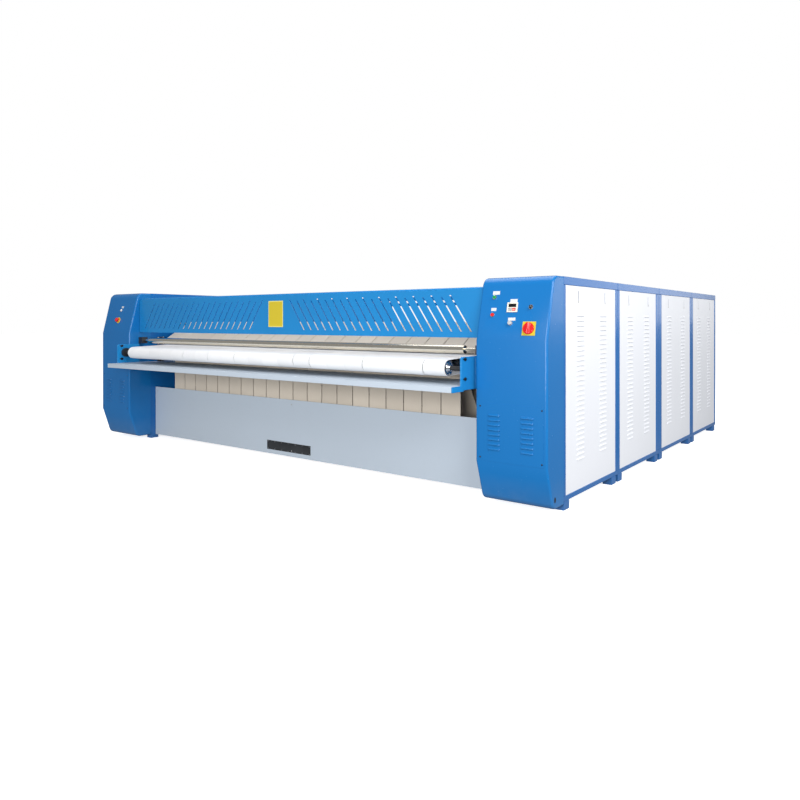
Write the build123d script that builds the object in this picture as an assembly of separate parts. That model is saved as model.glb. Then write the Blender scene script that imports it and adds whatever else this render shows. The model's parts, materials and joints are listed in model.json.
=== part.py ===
from build123d import *
import math
import os

# Flatwork ironer with four heated cylinders, fed at the front and delivering at the rear.
# Millimetres. X to the operator's right, Y from the front to the rear, Z up from the floor.
# The pieces are laid out with Y = 0 at the front of the consoles; the finished part has its
# origin on the floor, under the middle of its outline.

# ---- overall ----
overall_width = 4888.0
overall_height = 1450.0
fit_gap = 0.3            # air between a moving piece and what it runs along
running_fit = 0.05       # radial clearance of a shaft in its bore
seat_gap = 0.5           # air round a panel that hangs in its bay
end_play = 1.0           # air past the end of a shaft
seat_floor = 5.0         # metal left behind a blind bearing bore
overcut = 5.0            # how far a cutting shape passes the faces it cuts
overlap = 1.0            # how far two joined shapes reach into each other

# ---- consoles ----
console_width = 489.0
console_depth = 234.0
console_sheet = 2.5
console_bottom = 35.0
console_toe = 85.0       # set-back of the bottom edge
toe_corner = 55.0
toe_height = 290.0
fascia_drop = 398.0      # from the console's top to where its fascia starts to lean
fascia_lean = 13.5
crown_corner = 70.0
console_edge = 14.0
cover_sheet = 1.5
cover_bottom = 300.0
cover_top = 660.0
cover_margin = 24.0
access_margin = 34.0
louvre_rows = 8
louvre_pitch = 30.0
louvre_width = 84.0
louvre_slot = 7.0
louvre_column_offset = 113.5
louvre_drop = 181.0      # from the cover's top edge to the middle of its louvres

# ---- side frames and panels ----
module_lengths = (958.0, 997.0, 1047.0, 975.0)
front_posts = (36.0, 44.0, 78.0, 56.0)
rear_posts = (44.0, 79.0, 56.0, 41.0)
frame_tube = 40.0
top_rail = 52.0
foot_height = 56.0
bottom_rail = 32.0
foot_length = 82.0
foot_width = 70.0
front_foot_inset = 6.0
rear_foot_inset = 40.0
panel_sheet = 1.5
panel_depth = 20.0
panel_recess = 4.0
vent_rows = 30
vent_pitch = 32.0
vent_width = 118.0
vent_slot = 5.0
vent_drop = 245.0        # from the frame's top to the first louvre
vent_inset = 240.0
hook_inset = 205.0
hook_slot = 8.0
hook_length = 66.0
hook_drop = 82.0
wall_plate = 12.0
lid_sheet = 2.0

# ---- cross members ----
tie_height = 40.0
tie_length = 60.0
hinge_rod_radius = 7.0

# ---- cylinders ----
cylinder_radius = 400.0
cylinder_wall = 14.0
cylinder_end = 30.0
cylinder_wall_gap = 115.0
cylinder_count = 4
cylinder_height = 740.0
first_cylinder = 880.0
last_cylinder_gap = 511.0  # last cylinder's axis to the rear of the frame
journal_radius = 60.0
journal_bore = 30.0
journal_out = 145.0      # journal past the wall
housing_square = 240.0
housing_flange = 20.0
housing_boss = 95.0
housing_reach = 50.0
wall_bore_gap = 6.0

# ---- belts ----
belt = 3.0
ironing_belt = 5.0
belt_field_gap = 134.5   # from the wall to the outermost ironing belt's lane
strip_gap = 7.0
feed_strips = 21
feed_strip_gap = 1.2
open_seam = 5.0          # where two neighbouring feed belts stand apart
open_seams = (5, 7, 9, 13, 14, 17, 20)
ironing_strips = 22
return_strips = 20

# ---- rollers ----
roller_wall_gap = 120.0
roller_wall = 5.0
roller_end = 15.0
shaft_radius = 15.0
vent_bore = 4.0
feed_rise = 186.0        # feed roller's belts above the cylinders' axes
feed_roller_radius = 50.0
feed_roller_gap = 162.0
feed_roller_reach = 60.0
guide_radius = 40.0
nip_radius = 45.0
nip_place = 400.0
nip_rise = 18.0          # above the feed surface
dip_radius = 55.0
dip_gap = 35.0           # between the wrap rollers and the return run over them
nose_place = 345.0
nose_radius = 26.0
nose_rise = 50.5         # above the feed surface
tension_place = 610.0
rear_roller_gap = 151.0  # rear rollers' axes to the rear of the frame
run_gap = 15.0           # between the belts on the cylinders and their return run
belt_panel_gap = 14.0    # between the lower front panel and the belts behind it
return_top_rise = 35.0   # above the cylinders' axes
return_bottom = 160.0
return_rear_height = 200.0
bearing_square = 78.0
bearing_flange = 8.0
bearing_boss = 30.0
bearing_reach = 32.0

# ---- press roller ----
press_radius = 27.5
press_place = 130.0
press_rise = 59.0        # above the feed surface
press_roller_gap = 157.0
press_shaft = 12.0
press_block_square = 60.0
press_block_width = 62.0

# ---- feed table and brackets ----
table_reach = 240.0
table_drop = 154.0       # below the feed surface
table_lip = 37.0
table_belt_gap = 25.0    # between the table's rear edge and the return belts
table_sheet = 2.0
bracket_plate = 10.0
bracket_gap = 19.0       # between a bracket and the wall that it is spaced off
bracket_pad = 60.0
bracket_reach = 140.0
bracket_drop = 30.0      # below the table's top
bracket_rise = 24.0      # above the feed surface
bracket_back = 90.0
bracket_bend = 14.0
adjuster_slot = 9.0
adjuster_length = 46.0
adjuster_lead = 35.0     # slots' middle in front of the roller's axis
adjuster_span = 124.0
feed_block_radius = 42.0
feed_block_width = 26.0

# ---- front and rear sheets ----
lower_panel_place = 289.0
lower_panel_top = 513.0
lower_panel_bottom = 35.0
lower_panel_gap = 2.0    # air between the panel's ends and the walls
plain_sheet = 2.0
rear_reach = 60.0
tray_top = 600.0
tray_lip = 37.0
tray_depth = 141.0
rear_panel_top = 560.0
rear_panel_inset = 16.0

# ---- finger guard ----
guard_place = 110.0
guard_rise = 79.0        # its lower edge above the press roller's axis
guard_drop = 69.0        # its upper edge below the frame's top
guard_sheet = 2.5
guard_side_gap = 5.0
guard_bottom_fold = 16.0
guard_hinge_back = 26.0
guard_hinge_rise = 4.0
guard_barrel = 11.0
guard_cheek = 56.0
slot_count = 21
slot_pitch = 76.6
slot_width = 13.0
slot_run = 165.0
slot_bottom_edge = 39.0
slot_top_edge = 34.0
slot_step = 12.0
slot_first = 159.0
slot_end_gap = 40.0      # least distance of a slot from the guard's end

# ---- drive ----
chain_pitch = 19.05
cylinder_teeth = 72
drive_teeth = 24
sprocket_width = 11.0
sprocket_place = 98.0    # sprocket centre past the wall's outer face
sprocket_hub = 88.0
sprocket_hub_width = 50.0
tooth_height = 8.0
tooth_outline = ((0.0, -0.5), (0.35, -0.5), (0.55, 0.5), (0.8, 0.5))  # shares of pitch and height
chain_plate = 2.0
chain_plate_height = 17.0
chain_side_gap = 0.4
chain_pin = 3.0
chain_pin_step = 8
drive_shaft = 20.0
drive_shaft_proud = 5.0
drive_hub = 40.0
drive_hub_front = 25.0
drive_hub_back = 12.0
gearbox_length = 170.0
gearbox_width = 78.0
gearbox_corner = 18.0
gearbox_seat = 60.0
motor_radius = 68.0
motor_length = 230.0
motor_drop = 18.0
motor_wall_gap = 3.0
motor_neck_radius = 41.0

# ---- steam ----
union_radius = 44.0
union_length = 110.0
union_plug = 30.0
supply_pipe = 24.15
return_pipe = 16.85
drop_pipe = 16.85
supply_end = 30.15       # radius of the weld end that takes the site's pipe
return_end = 21.2
pipe_end = 40.0
header_height = 300.0
drain_height = 190.0
header_out = 215.0       # header past the wall's outer face
drain_out = 300.0
strap_offset = 60.0
strap_thickness = 10.0
strap_width = 40.0

# ---- controls ----
bezel_radius = 14.5
bezel_height = 6.0
bezel_bore = 10.8
neck_radius = 11.1
neck_length = 12.0
stem_radius = 8.0
stem_length = 20.0
cap_radius = 10.5
cap_height = 7.0
cap_edge = 1.5
cap_clear = 1.5          # air left under a cap that is pressed home
press_travel = 4.0
stop_travel = 5.0
mushroom_radius = 20.0
mushroom_height = 18.0
mushroom_edge = 7.0
selector_disc = 8.0
selector_grip = 7.0
selector_grip_height = 11.0
knob_radius = 13.0
knob_height = 14.0
knob_edge = 2.0
knob_lift = 0.5
pointer_width = 2.5
pointer_length = 11.0
pointer_height = 1.5
switch_plate = 86.0
switch_plate_height = 4.0
switch_knob = 36.0
switch_knob_height = 12.0
switch_edge = 3.0
switch_grip = 18.0
switch_grip_inset = 4.0
switch_grip_height = 16.0
controller_width = 72.0
controller_height = 62.0
controller_rim = 7.0
controller_frame = 6.0
controller_recess = 1.5
controller_body = 55.0
controller_inset = 3.0
# places on a fascia: in from the cabinet's outer side, and down from its top
start_spot = (386.0, 128.0)
stop_spot = (387.0, 239.0)
selector_spot = (128.0, 192.0)
speed_spot = (255.0, 291.0)
main_spot = (128.0, 323.0)
controller_spot = (254.0, 193.0)
left_start_spot = (267.0, 170.0)
emergency_spot = (245.0, 268.0)

# ---- worked out ----
half_width = overall_width / 2
inner_face = half_width - console_width
wall_outer = inner_face + wall_plate
frame_rear = console_depth + sum(module_lengths)
fascia_start = overall_height - fascia_drop
fascia_slope = math.tan(math.radians(fascia_lean))
louvre_middle = cover_top - louvre_drop
panel_bottom = foot_height + bottom_rail
panel_top = overall_height - top_rail
vent_top = overall_height - vent_drop
hook_top = overall_height - hook_drop
y_shift = -(frame_rear + rear_reach - table_reach) / 2
sides = {"left": -1, "right": 1}

cylinder_half = inner_face - cylinder_wall_gap
roller_half = inner_face - roller_wall_gap
feed_roller_half = inner_face - feed_roller_gap
press_half = inner_face - press_roller_gap
bracket_outer = inner_face - bracket_gap
bracket_inner = bracket_outer - bracket_plate
table_half = bracket_inner - fit_gap
strip_pitch = 2 * (inner_face - belt_field_gap) / ironing_strips
feed_strip_pitch = 2 * feed_roller_half / feed_strips

cylinder_pitch = (frame_rear - last_cylinder_gap - first_cylinder) / (cylinder_count - 1)
cylinder_places = [first_cylinder + cylinder_pitch * i for i in range(cylinder_count)]
dip_places = [place + cylinder_pitch / 2 for place in cylinder_places[:-1]]
drive_place = dip_places[0]
rear_roller_place = frame_rear - rear_roller_gap
turn_height = cylinder_height + cylinder_radius + ironing_belt + run_gap - guide_radius
dip_height = turn_height + guide_radius - dip_gap - dip_radius
feed_surface = cylinder_height + feed_rise
nose_height = feed_surface + nose_rise
press_height = feed_surface + press_rise
table_top = feed_surface - table_drop
bracket_bottom = table_top - bracket_drop
bracket_top = feed_surface + bracket_rise
feed_roller_height = feed_surface - belt - feed_roller_radius - fit_gap
nip_height = feed_surface + nip_rise - belt - nip_radius - fit_gap
return_front = lower_panel_place + plain_sheet + belt_panel_gap
return_place = return_front + belt + fit_gap + guide_radius
return_top = cylinder_height + return_top_rise
table_back = return_front - table_belt_gap
guard_bottom = press_height + guard_rise
guard_top = overall_height - guard_drop
slot_bottom = guard_bottom + slot_bottom_edge
slot_top = guard_top - slot_top_edge
shaft_end = inner_face - seat_floor - end_play
hinge_place = guard_place + guard_hinge_back
hinge_height = guard_top + guard_hinge_rise
cylinder_pitch_radius = chain_pitch / (2 * math.sin(math.pi / cylinder_teeth))
drive_pitch_radius = chain_pitch / (2 * math.sin(math.pi / drive_teeth))
sprocket_centre = wall_outer + sprocket_place
drive_height = cylinder_height - cylinder_pitch_radius + drive_pitch_radius


# ---- shape helpers ----
def block(x0, x1, y0, y1, z0, z1):
    """A box between two corners."""
    middle = ((x0 + x1) / 2, (y0 + y1) / 2, (z0 + z1) / 2)
    return Pos(*middle) * Box(abs(x1 - x0), abs(y1 - y0), abs(z1 - z0))


def side_block(side, x0, x1, y0, y1, z0, z1):
    """A box given by its distances from the middle of the machine, on one side."""
    return block(side * x0, side * x1, y0, y1, z0, z1)


def rod(x0, x1, y, z, radius):
    """A round bar along X."""
    return Pos((x0 + x1) / 2, y, z) * Rot(0, 90, 0) * Cylinder(radius, abs(x1 - x0))


def side_prism(points, x0, x1):
    """An outline in the Y-Z plane, drawn out along X."""
    low, high = sorted((x0, x1))
    face = make_face(Polyline(*points, close=True))
    return extrude(Plane(origin=(low, 0, 0), x_dir=(0, 1, 0), z_dir=(1, 0, 0)) * face, high - low)


def turned(outline, y, z):
    """A body of revolution about X, from an outline of (x, radius) points."""
    face = make_face(Polyline(*outline, close=True))
    return Pos(0, y, z) * revolve(face, Axis.X)


def hollow_roller(half, radius, wall, end, shaft, bore, reach, y, z):
    """A drum of tube and end discs on stub shafts, bored through."""
    outline = [
        (-reach, bore), (-reach, shaft), (-half, shaft), (-half, radius),
        (half, radius), (half, shaft), (reach, shaft), (reach, bore),
        (half - end, bore), (half - end, radius - wall),
        (end - half, radius - wall), (end - half, bore),
    ]
    return turned(outline, y, z)


def tangent_points(first, second):
    """Where a belt leaves one pulley and meets the next; a pulley is (y, z, radius, turn)."""
    y1, z1, r1, s1 = first
    y2, z2, r2, s2 = second
    span = math.hypot(y2 - y1, z2 - z1)
    heading = math.atan2(z2 - z1, y2 - y1) - math.asin((s2 * r2 - s1 * r1) / span)
    left = (-math.sin(heading), math.cos(heading))
    start = (y1 - s1 * r1 * left[0], z1 - s1 * r1 * left[1])
    end = (y2 - s2 * r2 * left[0], z2 - s2 * r2 * left[1])
    return start, end


def pulley_loop(pulleys, inset):
    """A closed loop round pulleys (y, z, radius, turn), drawn inset inside the belt's outer face."""
    grown = [(y, z, radius - turn * inset, turn) for y, z, radius, turn in pulleys]
    spans = [tangent_points(grown[i], grown[(i + 1) % len(grown)]) for i in range(len(grown))]
    edges = []
    for i, (y, z, radius, turn) in enumerate(grown):
        arrive = spans[i - 1][1]
        leave = spans[i][0]
        a0 = math.atan2(arrive[1] - z, arrive[0] - y)
        a1 = math.atan2(leave[1] - z, leave[0] - y)
        sweep = (turn * (a1 - a0)) % (2 * math.pi)
        middle = a0 + turn * sweep / 2
        crown = (y + radius * math.cos(middle), z + radius * math.sin(middle))
        edges.append(ThreePointArc(arrive, crown, leave))
        edges.append(Line(*spans[i]))
    return make_face(edges)


def belt_ring(pulleys, thickness, clearance):
    """The side view of a belt of one thickness that runs round its pulleys."""
    outer = [(y, z, r + clearance + (thickness if turn > 0 else 0), turn) for y, z, r, turn in pulleys]
    return pulley_loop(outer, 0) - pulley_loop(outer, thickness)


def strips(ring, count, pitch, seams):
    """Belts side by side about the middle, each a closed loop, with the air at each of their edges."""
    made = []
    for i in range(count):
        x = (i - count / 2) * pitch + seams[i] / 2
        width = pitch - (seams[i] + seams[i + 1]) / 2
        plane = Plane(origin=(x, 0, 0), x_dir=(0, 1, 0), z_dir=(1, 0, 0))
        made.append(extrude(plane * ring, width))
    return Compound(children=made)


def group(solids):
    """Separate solids kept together under one name."""
    return Compound(children=[solid for part in solids for solid in part.solids()])


# ---- consoles ----
def fascia_y(z):
    return max(0.0, (z - fascia_start) * fascia_slope)


def fascia_plane(side, spot):
    """A plane on the sloping fascia of one side, its Z outwards and its Y up the slope."""
    inset, drop = spot
    z = overall_height - drop
    lean = math.radians(fascia_lean)
    return Plane(origin=(side * (half_width - inset), fascia_y(z), z), x_dir=(1, 0, 0),
                 z_dir=(0, -math.cos(lean), math.sin(lean)))


def console_side(back):
    """The console's side view with its rounded toe and crown, as far back as asked."""
    toe = FilletPolyline((back, console_bottom), (console_toe, console_bottom), (0, toe_height),
                         radius=toe_corner)
    crown = FilletPolyline((0, fascia_start), (fascia_y(overall_height), overall_height),
                           (back, overall_height), radius=crown_corner)
    rear = Line((back, overall_height), (back, console_bottom))
    return make_face([toe, Line((0, toe_height), (0, fascia_start)), crown, rear])


def console_body(outline, inset):
    """The console's body from its side view, drawn in at its ends by an inset."""
    plane = Plane(origin=(inner_face + inset, 0, 0), x_dir=(0, 1, 0), z_dir=(1, 0, 0))
    body = extrude(plane * outline, console_width - 2 * inset)
    edges = [edge for face in body.faces().filter_by(Axis.X) for edge in face.edges()
             if edge.center().Y < console_depth - console_edge]
    return fillet(edges, console_edge - inset)


def console_shell(side, spots, cutouts):
    """A folded sheet housing, open to the side frame behind it."""
    inside = offset(console_side(console_depth + overcut), -console_sheet)
    shell = console_body(console_side(console_depth), 0) - console_body(inside, console_sheet)
    shell -= block(inner_face + access_margin, half_width - access_margin, -overcut, overcut,
                   cover_bottom + access_margin, cover_top - access_margin)
    if side < 0:
        shell = mirror(shell, Plane.YZ)
    for spot in spots:
        shell -= fascia_plane(side, spot) * Cylinder(neck_radius + running_fit, 2 * overcut)
    for spot, width, height in cutouts:
        shell -= fascia_plane(side, spot) * Box(width, height, 2 * overcut)
    return shell


def console_cover(side):
    """The screwed louvred cover over a console's access opening."""
    middle = side * (inner_face + console_width / 2)
    half = console_width / 2 - cover_margin
    cover = block(middle - half, middle + half, -cover_sheet, 0, cover_bottom, cover_top)
    first = louvre_middle - louvre_pitch * (louvre_rows - 1) / 2
    for column in (-1, 1):
        for row in range(louvre_rows):
            x = middle + column * louvre_column_offset
            z = first + row * louvre_pitch
            cover -= block(x - louvre_width / 2, x + louvre_width / 2, -2 * cover_sheet, cover_sheet,
                           z - louvre_slot / 2, z + louvre_slot / 2)
    return cover


# ---- side frames ----
def module_starts():
    """Where each frame module begins along Y."""
    starts = [console_depth]
    for length in module_lengths[:-1]:
        starts.append(starts[-1] + length)
    return starts


def bays():
    """The front and rear edge of each panel's bay."""
    found = []
    for start, length, front, rear in zip(module_starts(), module_lengths, front_posts, rear_posts):
        found.append((start + front, start + length - rear))
    return found


def outer_frame(side):
    """The welded tube frame of one side: rails, posts and block feet."""
    x0 = half_width - frame_tube
    bars = []
    for start, length, front, rear in zip(module_starts(), module_lengths, front_posts, rear_posts):
        end = start + length
        bars.append(side_block(side, x0, half_width, start, end, panel_top, overall_height))
        bars.append(side_block(side, x0, half_width, start, end, foot_height, panel_bottom))
        bars.append(side_block(side, x0, half_width, start, start + front, panel_bottom, panel_top))
        bars.append(side_block(side, x0, half_width, end - rear, end, panel_bottom, panel_top))
        for foot in (start + front_foot_inset, end - rear_foot_inset - foot_length):
            bars.append(side_block(side, half_width - foot_width, half_width, foot, foot + foot_length,
                                   0, foot_height))
    return group(bars)


def side_panel(side, bay):
    """A louvred pan that hangs on two hooks in its bay."""
    y0 = bay[0] + seat_gap
    y1 = bay[1] - seat_gap
    z0 = panel_bottom + seat_gap
    z1 = panel_top - seat_gap
    face = half_width - panel_recess
    pan = side_block(side, face - panel_depth, face, y0, y1, z0, z1)
    pan -= side_block(side, face - panel_depth - overcut, face - panel_sheet, y0 + panel_sheet, y1 - panel_sheet,
                      z0 + panel_sheet, z1 - panel_sheet)
    cuts = []
    for column in (bay[0] + vent_inset, bay[1] - vent_inset):
        for row in range(vent_rows):
            z = vent_top - row * vent_pitch
            cuts.append(Pos(column, z) * Rectangle(vent_width, vent_slot))
    for hook in (bay[0] + hook_inset, bay[1] - hook_inset):
        cuts.append(Pos(hook, hook_top - hook_length / 2) * Rectangle(hook_slot, hook_length))
    plane = Plane(origin=(side * face - overcut, 0, 0), x_dir=(0, 1, 0), z_dir=(1, 0, 0))
    pan -= extrude(plane * Sketch(children=cuts), 2 * overcut)
    return pan


def bearing_wall(side):
    """The thick inner side wall that carries the cylinders, on its own feet."""
    wall = side_block(side, inner_face, wall_outer, console_depth, frame_rear - rear_panel_inset,
                      foot_height, overall_height)
    for place in cylinder_places:
        wall -= rod(side * (inner_face - overcut), side * (wall_outer + overcut), place, cylinder_height,
                    journal_radius + wall_bore_gap)
    feet = []
    for start, length in zip(module_starts(), module_lengths):
        for foot in (start + front_foot_inset, start + length - rear_foot_inset - foot_length):
            feet.append(side_block(side, inner_face, inner_face + foot_width, foot, foot + foot_length,
                                   0, foot_height))
    return group([wall] + feet)


def top_cover(side):
    """The sheet lid between a bearing wall and the outer frame."""
    return side_block(side, wall_outer, half_width - frame_tube, console_depth, frame_rear,
                      overall_height - lid_sheet, overall_height)


def cross_members():
    """Tubes that tie the two walls together, and the guard's hinge rod."""
    bars = []
    starts = module_starts()
    low_ties = [lower_panel_place + plain_sheet] + starts[1:] + [frame_rear - tie_length - rear_panel_inset]
    for place in low_ties:
        bars.append(block(-inner_face, inner_face, place, place + tie_length, foot_height, foot_height + tie_height))
    for place in (starts[2], frame_rear - tie_length - rear_panel_inset):
        top = overall_height - tie_height / 2
        bars.append(block(-inner_face, inner_face, place, place + tie_length, top - tie_height, top))
    bars.append(rod(-inner_face, inner_face, hinge_place, hinge_height, hinge_rod_radius))
    return group(bars)


# ---- sheets between the walls ----
def folded_shelf(front, back, top, lip, half, sheet):
    """A shelf with its outer edge folded down; front is the edge with the lip."""
    step = math.copysign(sheet, back - front)
    shelf = block(-half, half, front, back, top - sheet, top)
    return shelf + block(-half, half, front, front + step, top - lip, top)


def lower_panel():
    half = inner_face - lower_panel_gap
    return block(-half, half, lower_panel_place, lower_panel_place + plain_sheet,
                 lower_panel_bottom, lower_panel_top)


def rear_panels():
    """The rear sheets: one between the walls and one behind each side cabinet."""
    y0 = frame_rear - rear_panel_inset
    y1 = y0 + plain_sheet
    sheets = [block(fit_gap - inner_face, inner_face - fit_gap, y0, y1, foot_height, rear_panel_top)]
    for side in (-1, 1):
        sheet = side_block(side, inner_face, half_width - frame_tube, y0, y1,
                           foot_height, overall_height - lid_sheet)
        if side < 0:
            for x, z, radius, _ in header_lines():
                sheet -= pipe_run(x, z, radius + fit_gap, y0 - overcut, y1 + overcut)
        sheets.append(sheet)
    return group(sheets)


# ---- feed end ----
def roller_bracket(side):
    """The plate that carries an end of the feed roller, on a pad, with an arm to the table's end."""
    plate = side_block(side, bracket_inner, bracket_outer, -bracket_reach, bracket_back,
                       bracket_bottom, bracket_top)
    plate = fillet(plate.edges().filter_by(Axis.X).group_by(Axis.Y)[0], bracket_bend)
    middle = -feed_roller_reach - adjuster_lead
    for rise in (-adjuster_span / 2, adjuster_span / 2):
        z = feed_roller_height + rise
        plate -= side_block(side, bracket_inner - overcut, bracket_outer + overcut, middle - adjuster_length / 2,
                            middle + adjuster_length / 2, z - adjuster_slot / 2, z + adjuster_slot / 2)
    arm = side_block(side, bracket_inner, bracket_outer, -table_reach, -bracket_reach + 2 * bracket_bend,
                     table_top - table_lip, table_top - table_sheet)
    pad = side_block(side, bracket_outer, inner_face, bracket_back - bracket_pad, bracket_back,
                     bracket_bottom, bracket_top)
    return plate + arm + pad


def press_block(side):
    """The dark end block that holds one end of the polished press roller."""
    half = press_block_square / 2
    x0 = inner_face - press_block_width
    body = side_block(side, x0, inner_face, press_place - half, press_place + half,
                      press_height - half, press_height + half)
    return body - rod(side * (x0 - overcut), side * (inner_face - seat_floor), press_place, press_height,
                      press_shaft + running_fit)


def roller(y, z, radius):
    """A belt roller between the walls."""
    return hollow_roller(roller_half, radius, roller_wall, roller_end, shaft_radius, vent_bore,
                         shaft_end, y, z)


def guard_slots(half):
    """The slanted slots of the guard, leaning both ways from its middle, in the X-Z plane."""
    cuts = []
    for direction in (-1, 1):
        for i in range(slot_count):
            top = slot_top - (slot_step if i % 2 else 0.0)
            foot = slot_first + i * slot_pitch + slot_run
            head = foot - slot_run * (top - slot_bottom) / (slot_top - slot_bottom)
            if foot < half - slot_end_gap:
                upper = direction * head
                lower = direction * foot
                cuts.append(make_face(Polyline(
                    (upper - slot_width / 2, top), (upper + slot_width / 2, top),
                    (lower + slot_width / 2, slot_bottom), (lower - slot_width / 2, slot_bottom),
                    close=True)))
    return Sketch(children=cuts)


def guard():
    """The slotted guard plate with its folds, end cheeks and hinge barrel."""
    half = inner_face - guard_side_gap
    front = guard_place
    back = front + guard_sheet
    sheet = side_prism([
        (front, guard_bottom), (front + guard_bottom_fold, guard_bottom),
        (front + guard_bottom_fold, guard_bottom + guard_sheet), (back, guard_bottom + guard_sheet),
        (back, guard_top - guard_sheet), (hinge_place, hinge_height - 2 * guard_sheet),
        (hinge_place, hinge_height), (front, guard_top),
    ], -half, half)
    plane = Plane(origin=(0, back + overcut, 0), x_dir=(1, 0, 0), z_dir=(0, -1, 0))
    sheet -= extrude(plane * guard_slots(half), guard_sheet + 2 * overcut)
    for side in (-1, 1):
        sheet += side_prism([
            (front, guard_bottom), (front + guard_cheek, guard_bottom),
            (front + guard_cheek, guard_top - guard_cheek), (hinge_place, guard_top - guard_sheet),
            (front, guard_top),
        ], side * (half - guard_sheet), side * half)
    barrel = rod(-half, half, hinge_place, hinge_height, guard_barrel)
    bore = rod(-half - overcut, half + overcut, hinge_place, hinge_height, hinge_rod_radius + running_fit)
    return sheet + barrel - bore


# ---- belts ----
def feed_belts():
    ring = belt_ring([
        (-feed_roller_reach, feed_roller_height, feed_roller_radius, 1),
        (nip_place, nip_height, nip_radius, 1),
    ], belt, fit_gap)
    seams = [open_seam if i in open_seams else feed_strip_gap for i in range(feed_strips + 1)]
    return strips(ring, feed_strips, feed_strip_pitch, seams)


def ironing_belts():
    """The long belts that press the linen on the tops of the cylinders."""
    pulleys = [(nose_place, nose_height, nose_radius, 1)]
    for i, place in enumerate(cylinder_places):
        pulleys.append((place, cylinder_height, cylinder_radius, -1))
        if i < len(dip_places):
            pulleys.append((dip_places[i], dip_height, dip_radius, 1))
    pulleys.append((rear_roller_place, turn_height, guide_radius, 1))
    pulleys.append((tension_place, turn_height, guide_radius, 1))
    ring = belt_ring(pulleys, ironing_belt, fit_gap)
    return strips(ring, ironing_strips, strip_pitch, [strip_gap] * (ironing_strips + 1))


def return_belts():
    """The lower belts: under the cylinders, round the first one and down behind the front."""
    pulleys = [
        (return_place, return_bottom, guide_radius, 1),
        (rear_roller_place, return_rear_height, guide_radius, 1),
        (cylinder_places[0], cylinder_height, cylinder_radius, -1),
        (return_place, return_top, guide_radius, 1),
    ]
    ring = belt_ring(pulleys, belt, fit_gap)
    return strips(ring, return_strips, strip_pitch, [strip_gap] * (return_strips + 1))


# ---- cylinders and drive ----
def sprocket(teeth, pitch_radius, x, y, z):
    """A toothed disc about X."""
    points = []
    for i in range(teeth):
        for share, rise in tooth_outline:
            radius = pitch_radius + rise * tooth_height
            angle = 2 * math.pi * (i + share) / teeth
            points.append((y + radius * math.cos(angle), z + radius * math.sin(angle)))
    return side_prism(points, x - sprocket_width / 2, x + sprocket_width / 2)


def cylinder(place):
    """A heated cylinder with its bored journals, and the chain sprocket keyed on it."""
    drum = hollow_roller(cylinder_half, cylinder_radius, cylinder_wall, cylinder_end, journal_radius,
                         journal_bore, wall_outer + journal_out, place, cylinder_height)
    wheel = sprocket(cylinder_teeth, cylinder_pitch_radius, sprocket_centre, place, cylinder_height)
    wheel += rod(sprocket_centre - sprocket_hub_width / 2, sprocket_centre + sprocket_hub_width / 2,
                 place, cylinder_height, sprocket_hub)
    wheel -= rod(sprocket_centre - sprocket_hub_width, sprocket_centre + sprocket_hub_width,
                 place, cylinder_height, journal_radius)
    return group([drum, wheel])


def flange_bearing(x_seat, direction, y, z, square, flange, boss, reach, bore, depth):
    """A square-flanged bearing housing on a wall face, its boss pointing along direction."""
    half = square / 2
    body = block(x_seat, x_seat + direction * flange, y - half, y + half, z - half, z + half)
    body += rod(x_seat, x_seat + direction * reach, y, z, boss)
    mouth = x_seat + direction * (reach + overcut)
    return body - rod(x_seat + direction * (reach - depth), mouth, y, z, bore)


def roller_seats():
    """Axis of each belt roller that runs in housings on the walls."""
    seats = [(nose_place, nose_height), (tension_place, turn_height), (rear_roller_place, turn_height)]
    seats += [(place, dip_height) for place in dip_places]
    seats += [(nip_place, nip_height), (return_place, return_top), (return_place, return_bottom)]
    seats.append((rear_roller_place, return_rear_height))
    return seats


def bearing_housings():
    """All housings: cylinder bearings outside the walls, roller bearings inside, feed roller blocks."""
    made = []
    for side in (-1, 1):
        for place in cylinder_places:
            made.append(flange_bearing(side * wall_outer, side, place, cylinder_height, housing_square,
                                       housing_flange, housing_boss, housing_reach,
                                       journal_radius + running_fit, housing_reach + overcut))
        for y, z in roller_seats():
            made.append(flange_bearing(side * inner_face, -side, y, z, bearing_square, bearing_flange,
                                       bearing_boss, bearing_reach, shaft_radius + running_fit,
                                       bearing_reach - seat_floor))
        mouth = bracket_inner - feed_block_width
        body = rod(side * mouth, side * bracket_inner, -feed_roller_reach, feed_roller_height, feed_block_radius)
        body -= rod(side * (mouth - overcut), side * (bracket_inner - seat_floor), -feed_roller_reach,
                    feed_roller_height, shaft_radius + running_fit)
        made.append(body)
        made.append(press_block(side))
    return group(made)


def feed_roller():
    reach = bracket_inner - seat_floor - end_play
    return hollow_roller(feed_roller_half, feed_roller_radius, roller_wall, roller_end, shaft_radius,
                         vent_bore, reach, -feed_roller_reach, feed_roller_height)


def press_roller():
    return hollow_roller(press_half, press_radius, roller_wall, roller_end, press_shaft, vent_bore,
                         shaft_end, press_place, press_height)


def meshing(pitch_radius):
    """Half the length of a straight chain run that a sprocket's teeth reach."""
    tip = pitch_radius + tooth_height / 2 + chain_pin
    return math.sqrt(tip ** 2 - pitch_radius ** 2) + chain_pitch


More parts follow.
